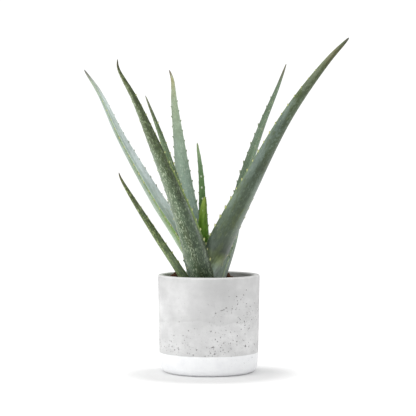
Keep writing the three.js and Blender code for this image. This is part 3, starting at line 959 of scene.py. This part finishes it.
def unevenRing(radius, z):
    # A ring of the hand-cast wall, which swells and dips a little
    uneven = potSettings["unevenness"]
    ring = []
    for x, y in circle(radius, potSettings["segments"]):
        swell = 1 + uneven * noise.noise((x * 0.02, y * 0.02, z * 0.02)) / max(radius, 1)
        swell += 0.35 * uneven * noise.noise((x * 0.07, y * 0.07, z * 0.07)) / max(radius, 1)
        ring.append((x * swell, y * swell, z))
    return ring


def finePores(where, crowd):
    pores = 0.0
    for scale, size in ((290.0, 0.14), (620.0, 0.17)):
        distance, dice = cellsOf(where, scale)
        chosen = ease(minus(times(crowd, 0.5), dice), -0.05, 0.0)
        pores = greater(times(ease(distance, size, size * 0.6), chosen), pores)
    return pores


def makeConcrete(name, paintedShade):
    # Cast concrete with cloudy patches, tiny pores, a painted highlight along the rim's top and a foot dipped
    # in white paint
    p = potSettings
    material, tree, shader = newMaterial(name, specular=0.3)
    where = objectPlace(tree)
    height = partsOf(where)["Z"]
    cloud = noiseOf(where, 17.0, 5.0, 0.6)
    mottle = noiseOf(where, 75.0, 4.0, 0.6)
    smear = noiseOf(stretched(where, (1, 1, 4)), 13.0, 4.0, 0.6)
    grain = grainOf(where, 900.0)

    joint = timesPlus(cloud, 0.03, minus(height, p["pourHeight"] * mm))
    away = lengthOf(stretched(vectorCalc("SUBTRACT", where, metres(p["greyPatchPlace"])), (1, 1, 0.7)))
    crowd = times(timesPlus(easeOver(height, p["poresUnder"]), 0.8, 0.25), ease(cloud, 0.35, 0.6))
    pores = finePores(where, crowd)
    masks = {
        "joint": times(easeOver(joint, p["jointStart"]), easeOver(joint, p["jointEnd"]),
                       ease(smear, 0.42, 0.6)),
        "upper": easeOver(height, p["upperFrom"]),
        "greyPatch": easeOver(timesPlus(cloud, 0.02, away), p["greyPatchReach"]),
        # Painted highlight along the rim's top
        "worn": easeOver(timesPlus(mottle, 0.0016, height), p["rimHighlightFrom"]),
        "grain": grain["Mask"],
        "pores": pores,
    }
    tone = timesPlus(cloud, 0.5, timesPlus(mottle, 0.25, times(smear, 0.3)))
    color = rampOf(concreteTones, tone)
    for mark, (share, code) in concreteMarks.items():
        color = blendColor(times(masks[mark], share), color, paint(code))

    ragged = timesPlus(minus(mottle, 0.5), p["bandRagged"] * mm, p["bandHeight"] * mm)
    band = easeOver(minus(height, ragged), p["bandEdge"])
    white = blendColor(times(pores, 0.3), rampOf(paintTones, mottle), paint("#b4b4b4"))
    color = blendColor(band, color, white)
    # Painted shade, for the insides of the pits
    if paintedShade:
        color = blendColor(paintedShade, color, paint("#6a6866"))
    rough = timesPlus(band, -0.25, timesPlus(grain["Mask"], 0.1, 0.82))
    finishMaterial(shader, color, rough, minus(times(grain["Height"], 0.35), pores), 0.4 * mm, 0.5)
    return material


def pitDensity(ins, place):
    # Few bubbles stayed open high on the wall, least of all on its left
    p = potSettings
    parts = partsOf(place)
    left, right = metres(p["pitLine"])
    line = timesPlus(easeOver(parts["X"], p["pitSides"]), right - left, left)
    rise = easeOver(minus(parts["Z"], line), (-p["pitFade"], p["pitFade"]))
    cluster = timesPlus(ease(noiseOf(place, 45.0, 2.0), 0.4, 0.62), 0.85, 0.15)
    density = times(times(ins["Density"], cluster), timesPlus(rise, -0.96, 1.0))
    # The paint filled most of those in the band
    painted = times(easeOver(parts["X"], p["paintedPits"]), 0.12)
    return times(density, greater(easeOver(parts["Z"], p["barePits"]), painted))


def makePitTree():
    # Air bubbles left open in the cast wall
    tree, ins, outs = newShapeTree("castPits", {
        "Density": 4000.0, "Smallest": 0.0004, "Largest": 0.001, "Lowest": 0.012, "Highest": 0.11,
        "Outside": 0.0615, "Seed": 0, "Hollow": "Material",
    })
    place = source(tree, "InputPosition")
    parts = partsOf(place)
    radius = lengthOf(vectorOf(parts["X"], parts["Y"]))
    chosen = logic("AND", above(parts["Z"], ins["Lowest"]), below(parts["Z"], ins["Highest"]),
                   above(radius, ins["Outside"]))
    scatter = scatteredOn(ins["Geometry"], chosen, pitDensity(ins, place), ins["Seed"])
    dice = calc("POWER", randomOf(0.0, 1.0, ins["Seed"]), 2.2)
    size = timesPlus(minus(ins["Largest"], ins["Smallest"]), dice, ins["Smallest"])
    bubble = dressed(source(tree, "MeshIcoSphere", {"Radius": 1.0, "Subdivisions": 2}), ins["Hollow"])
    bubbles = copiesOn(scatter["Points"], bubble, scatter["Rotation"], size)
    solids = {"Mesh 1": ins["Geometry"], "Mesh 2": bubbles}
    cut = geo("MeshBoolean", solids, operation="DIFFERENCE", solver="MANIFOLD")
    smooth = geo("SetShadeSmooth", {"Geometry": cut})
    steep = above(source(tree, "InputMeshEdgeAngle"), 0.7)
    sharp = {"Geometry": smooth, "Selection": steep, "Shade Smooth": False}
    fill(outs["Geometry"], geo("SetShadeSmooth", sharp, domain="EDGE"))
    return tree


def makePot():
    p = potSettings
    outline = potProfile()
    rings = [unevenRing(radius, z) for radius, z in outline]
    host = linkObject("castPot", ringMesh("turned", (0, 0, outline[0][1]), rings, (0, 0, outline[-1][1])))
    host.data.materials.append(makeConcrete("castConcrete", 0.0))
    low, high = p["pitWall"]
    area = 2 * math.pi * p["rimRadius"] * (high - low) * mm * mm
    values = {labelOf(key): size * mm for key, size in (p["pitSizes"] | p["pitRange"]).items()}
    values["Density"] = 2 * p["pits"] / area  # about half of them are thinned out again
    values["Seed"] = p["pitSeed"]
    values["Hollow"] = makeConcrete("pitHollow", p["pitShade"])
    addModifier(host, makePitTree(), values)
    pot = settle(host, "concrete_pot")
    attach(pot, "root")
    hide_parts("pot")
    print("pot", len(pot.data.polygons), "faces")


# Soil

soilSettings = {
    "top": 114.5, "heap": 3.5, "heapRadius": 26, "ripple": 1.1, "rings": 56, "segments": 150,
    "radiusTop": 57.1, "radiusBottom": 55.3, "floor": 10.3, "footRound": 2, "centre": (-3, 0),
    "crumbs": 1500, "bark": 190, "seed": 8, "reach": 54, "lowest": 108,
    "heaps": [  # place, radius and height of each small pile of bark chips
        ((-41, 14), 9, 6.5), ((22, 27), 7, 5), ((9, -42), 8, 2), ((-20, 42), 8, 2),
    ],
    "chips": 30000.0,  # a square metre
    "bits": {  # smallest and largest half sizes, and how finely each kind is made
        "Crumbs": ((0.6, 0.6, 0.5), (1.7, 1.5, 1.2), 1),
        "Bark": ((2.2, 1.2, 0.7), (5.2, 2.8, 1.6), 2),
        "Chips": ((3, 1.8, 3), (5.2, 3, 5.8), 2),
    },
}

# Dark, middle and pale brown, and the scale of the pattern
earths = {
    "peatCrumbs": ("#1f140e", "#36251c", "#503d31", 500.0),
    "barkSlips": ("#3f251a", "#61402f", "#886853", 350.0),
}


def bell(away):
    return math.exp(-away ** 2)


def soilHeight(x, y):
    s = soilSettings
    away = math.hypot(x - s["centre"][0], y - s["centre"][1])
    ripple = math.sin(x / 4.1 + 1) * math.cos(y / 4.7) + 0.5 * math.sin((x + y) / 2.9)
    crumbly = 0.9 * noise.noise((x * 0.35, y * 0.35, 2)) + 0.5 * noise.noise((x * 0.9, y * 0.9, 7))
    piled = sum(high * bell(math.dist((x, y), centre) / radius) for centre, radius, high in s["heaps"])
    return s["top"] + s["heap"] * bell(away / s["heapRadius"]) + s["ripple"] * ripple + crumbly + piled


def soilMesh():
    s = soilSettings
    foot, count = s["footRound"], s["segments"]
    rings = [[(x, y, s["floor"]) for x, y in circle(s["radiusBottom"] - foot, count)],
             [(x, y, s["floor"] + foot) for x, y in circle(s["radiusBottom"], count)]]
    for k in range(s["rings"], 0, -1):
        radius = s["radiusTop"] * k / s["rings"]
        rings.append([(x, y, soilHeight(x, y)) for x, y in circle(radius, count)])
    return ringMesh("soil", (0, 0, s["floor"]), rings, (0, 0, soilHeight(0, 0)))


def makeEarth(name, dark, middle, pale, scale):
    material, tree, shader = newMaterial(name, specular=0.25)
    where = objectPlace(tree)
    grain = grainOf(where, scale * 4)
    tone = timesPlus(noiseOf(where, scale, 4.0, 0.6), 0.7, times(grain["Mask"], 0.3))
    color = rampOf([(0.3, dark), (0.5, middle), (0.75, pale)], tone)
    finishMaterial(shader, color, timesPlus(grain["Mask"], 0.15, 0.8), tone, 0.8 * mm, 0.6)
    return material


def makeScatterTree():
    # Crumbs and slips of bark strewn over the top of the soil, and chips on its heaps
    tree, ins, outs = newShapeTree("strewnSoil", {
        "Crumbs": 100000.0, "Bark": 15000.0, "Chips": 20000.0, "Lowest": 0.108, "Reach": 0.054, "Seed": 0,
        "Crumb Material": "Material", "Bark Material": "Material",
    })
    place = source(tree, "InputPosition")
    parts = partsOf(place)
    flat = vectorOf(parts["X"], parts["Y"])
    onTop = logic("AND", above(parts["Z"], ins["Lowest"]), below(lengthOf(flat), ins["Reach"]))
    near = []
    for (x, y), radius, _ in soilSettings["heaps"]:
        near.append(below(lengthOf(vectorCalc("SUBTRACT", flat, (x * mm, y * mm, 0))), radius * mm))
    heaped = logic("AND", logic("OR", *near), onTop)
    push = scaled(vectorCalc("SUBTRACT", driftOf(place, 1.3), (0.5, 0.5, 0.5)), 0.9)
    kinds = [("Crumbs", onTop, "Crumb Material"), ("Bark", onTop, "Bark Material"),
             ("Chips", heaped, "Bark Material")]
    layers = [ins["Geometry"]]
    for number, (kind, where, look) in enumerate(kinds):
        smallest, largest, detail = soilSettings["bits"][kind]
        sizes = (metres(smallest), metres(largest))
        scatter = scatteredOn(ins["Geometry"], where, ins[kind], plus(ins["Seed"], number))
        turn = randomOf((-0.5, -0.5, 0), (0.5, 0.5, 6.28), plus(ins["Seed"], 10 + number), "FLOAT_VECTOR")
        size = randomOf(*sizes, plus(ins["Seed"], 20 + number), "FLOAT_VECTOR")
        lump = source(tree, "MeshIcoSphere", {"Radius": 1.0, "Subdivisions": detail})
        lump = dressed(geo("SetPosition", {"Geometry": lump, "Offset": push}), ins[look])
        layers.append(copiesOn(scatter["Points"], lump, turn, size))
    fill(outs["Geometry"], joined(layers))
    return tree


def makeSoil():
    s = soilSettings
    host = linkObject("soil", soilMesh())
    peat, bark = (makeEarth(name, *look) for name, look in earths.items())
    host.data.materials.append(peat)
    area = math.pi * (s["reach"] * mm) ** 2
    addModifier(host, makeScatterTree(), {
        "Crumbs": s["crumbs"] / area, "Bark": s["bark"] / area, "Chips": s["chips"], "Seed": s["seed"],
        "Lowest": s["lowest"] * mm, "Reach": s["reach"] * mm, "Crumb Material": peat, "Bark Material": bark,
    })
    soil = settle(host, "potting_soil")
    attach(soil, "root")
    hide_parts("soil")
    print("soil", len(soil.data.polygons), "faces")


# Stem, kept from the frame with its own skin

stemTones = [(0.35, "#6c6a48"), (0.5, "#8c8a5c"), (0.68, "#a8a276")]


def dressStem():
    material, tree, shader = newMaterial("stemSkin")
    where = objectPlace(tree)
    grain = grainOf(where, 700.0)
    tone = noiseOf(stretched(where, (1, 1, 4)), 90.0, 4.0)
    color = blendColor(times(grain["Mask"], 0.3), rampOf(stemTones, tone), paint("#5a4632"))
    finishMaterial(shader, color, timesPlus(grain["Mask"], 0.2, 0.6), tone, 0.8 * mm, 0.5)
    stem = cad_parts["stem"]
    stem.data.materials.clear()
    stem.data.materials.append(material)
    print("stem dressed")


# Floor, which glows with painted light, less round the pot, where that dip paints its soft shadow

floorSettings = {
    "reach": 9,
    "tones": [(0.3, "#f2f2f2"), (0.7, "#f6f6f6")],
    "glow": (0.0, 0.5),  # round the pot, away from it
    "shadow": (0.075, 0.155),  # where the glow sets in, where it is full
    "shadowShift": (0, 0.03, 0), "shadowShape": (1, 1.2, 1),
}


def makeFloor():
    mesh = bpy.data.meshes.new("floor")
    reach = floorSettings["reach"]
    corners = [(-reach, -reach, 0), (reach, -reach, 0), (reach, reach, 0), (-reach, reach, 0)]
    mesh.from_pydata(corners, [], [(0, 1, 2, 3)])
    floor = linkObject("floor", mesh)
    material, tree, shader = newMaterial("paleFloor", specular=0.0, roughness=0.9)
    where = objectPlace(tree)
    color = rampOf(floorSettings["tones"], noiseOf(where, 3.0, 2.0))
    away = lengthOf(stretched(moved(where, floorSettings["shadowShift"]), floorSettings["shadowShape"]))
    near, far = floorSettings["glow"]
    # Painted shadow: the glow dims round the pot
    glow = timesPlus(ease(away, *floorSettings["shadow"]), far - near, near)
    for label, value in (("Base Color", color), ("Emission Color", color), ("Emission Strength", glow)):
        fill(shader.inputs[label], value)
    mesh.materials.append(material)
    print("floor laid")


makeCamera()
makeWorld()
for name, area in lightSettings["areas"].items():
    makeLight(name + "Light", **area)
grainGroup = makeGrainGroup()
skinGroup = makeSkinGroup()
print("camera, light and shader groups ready")
makeLeaves()
makePot()
makeSoil()
dressStem()
makeFloor()
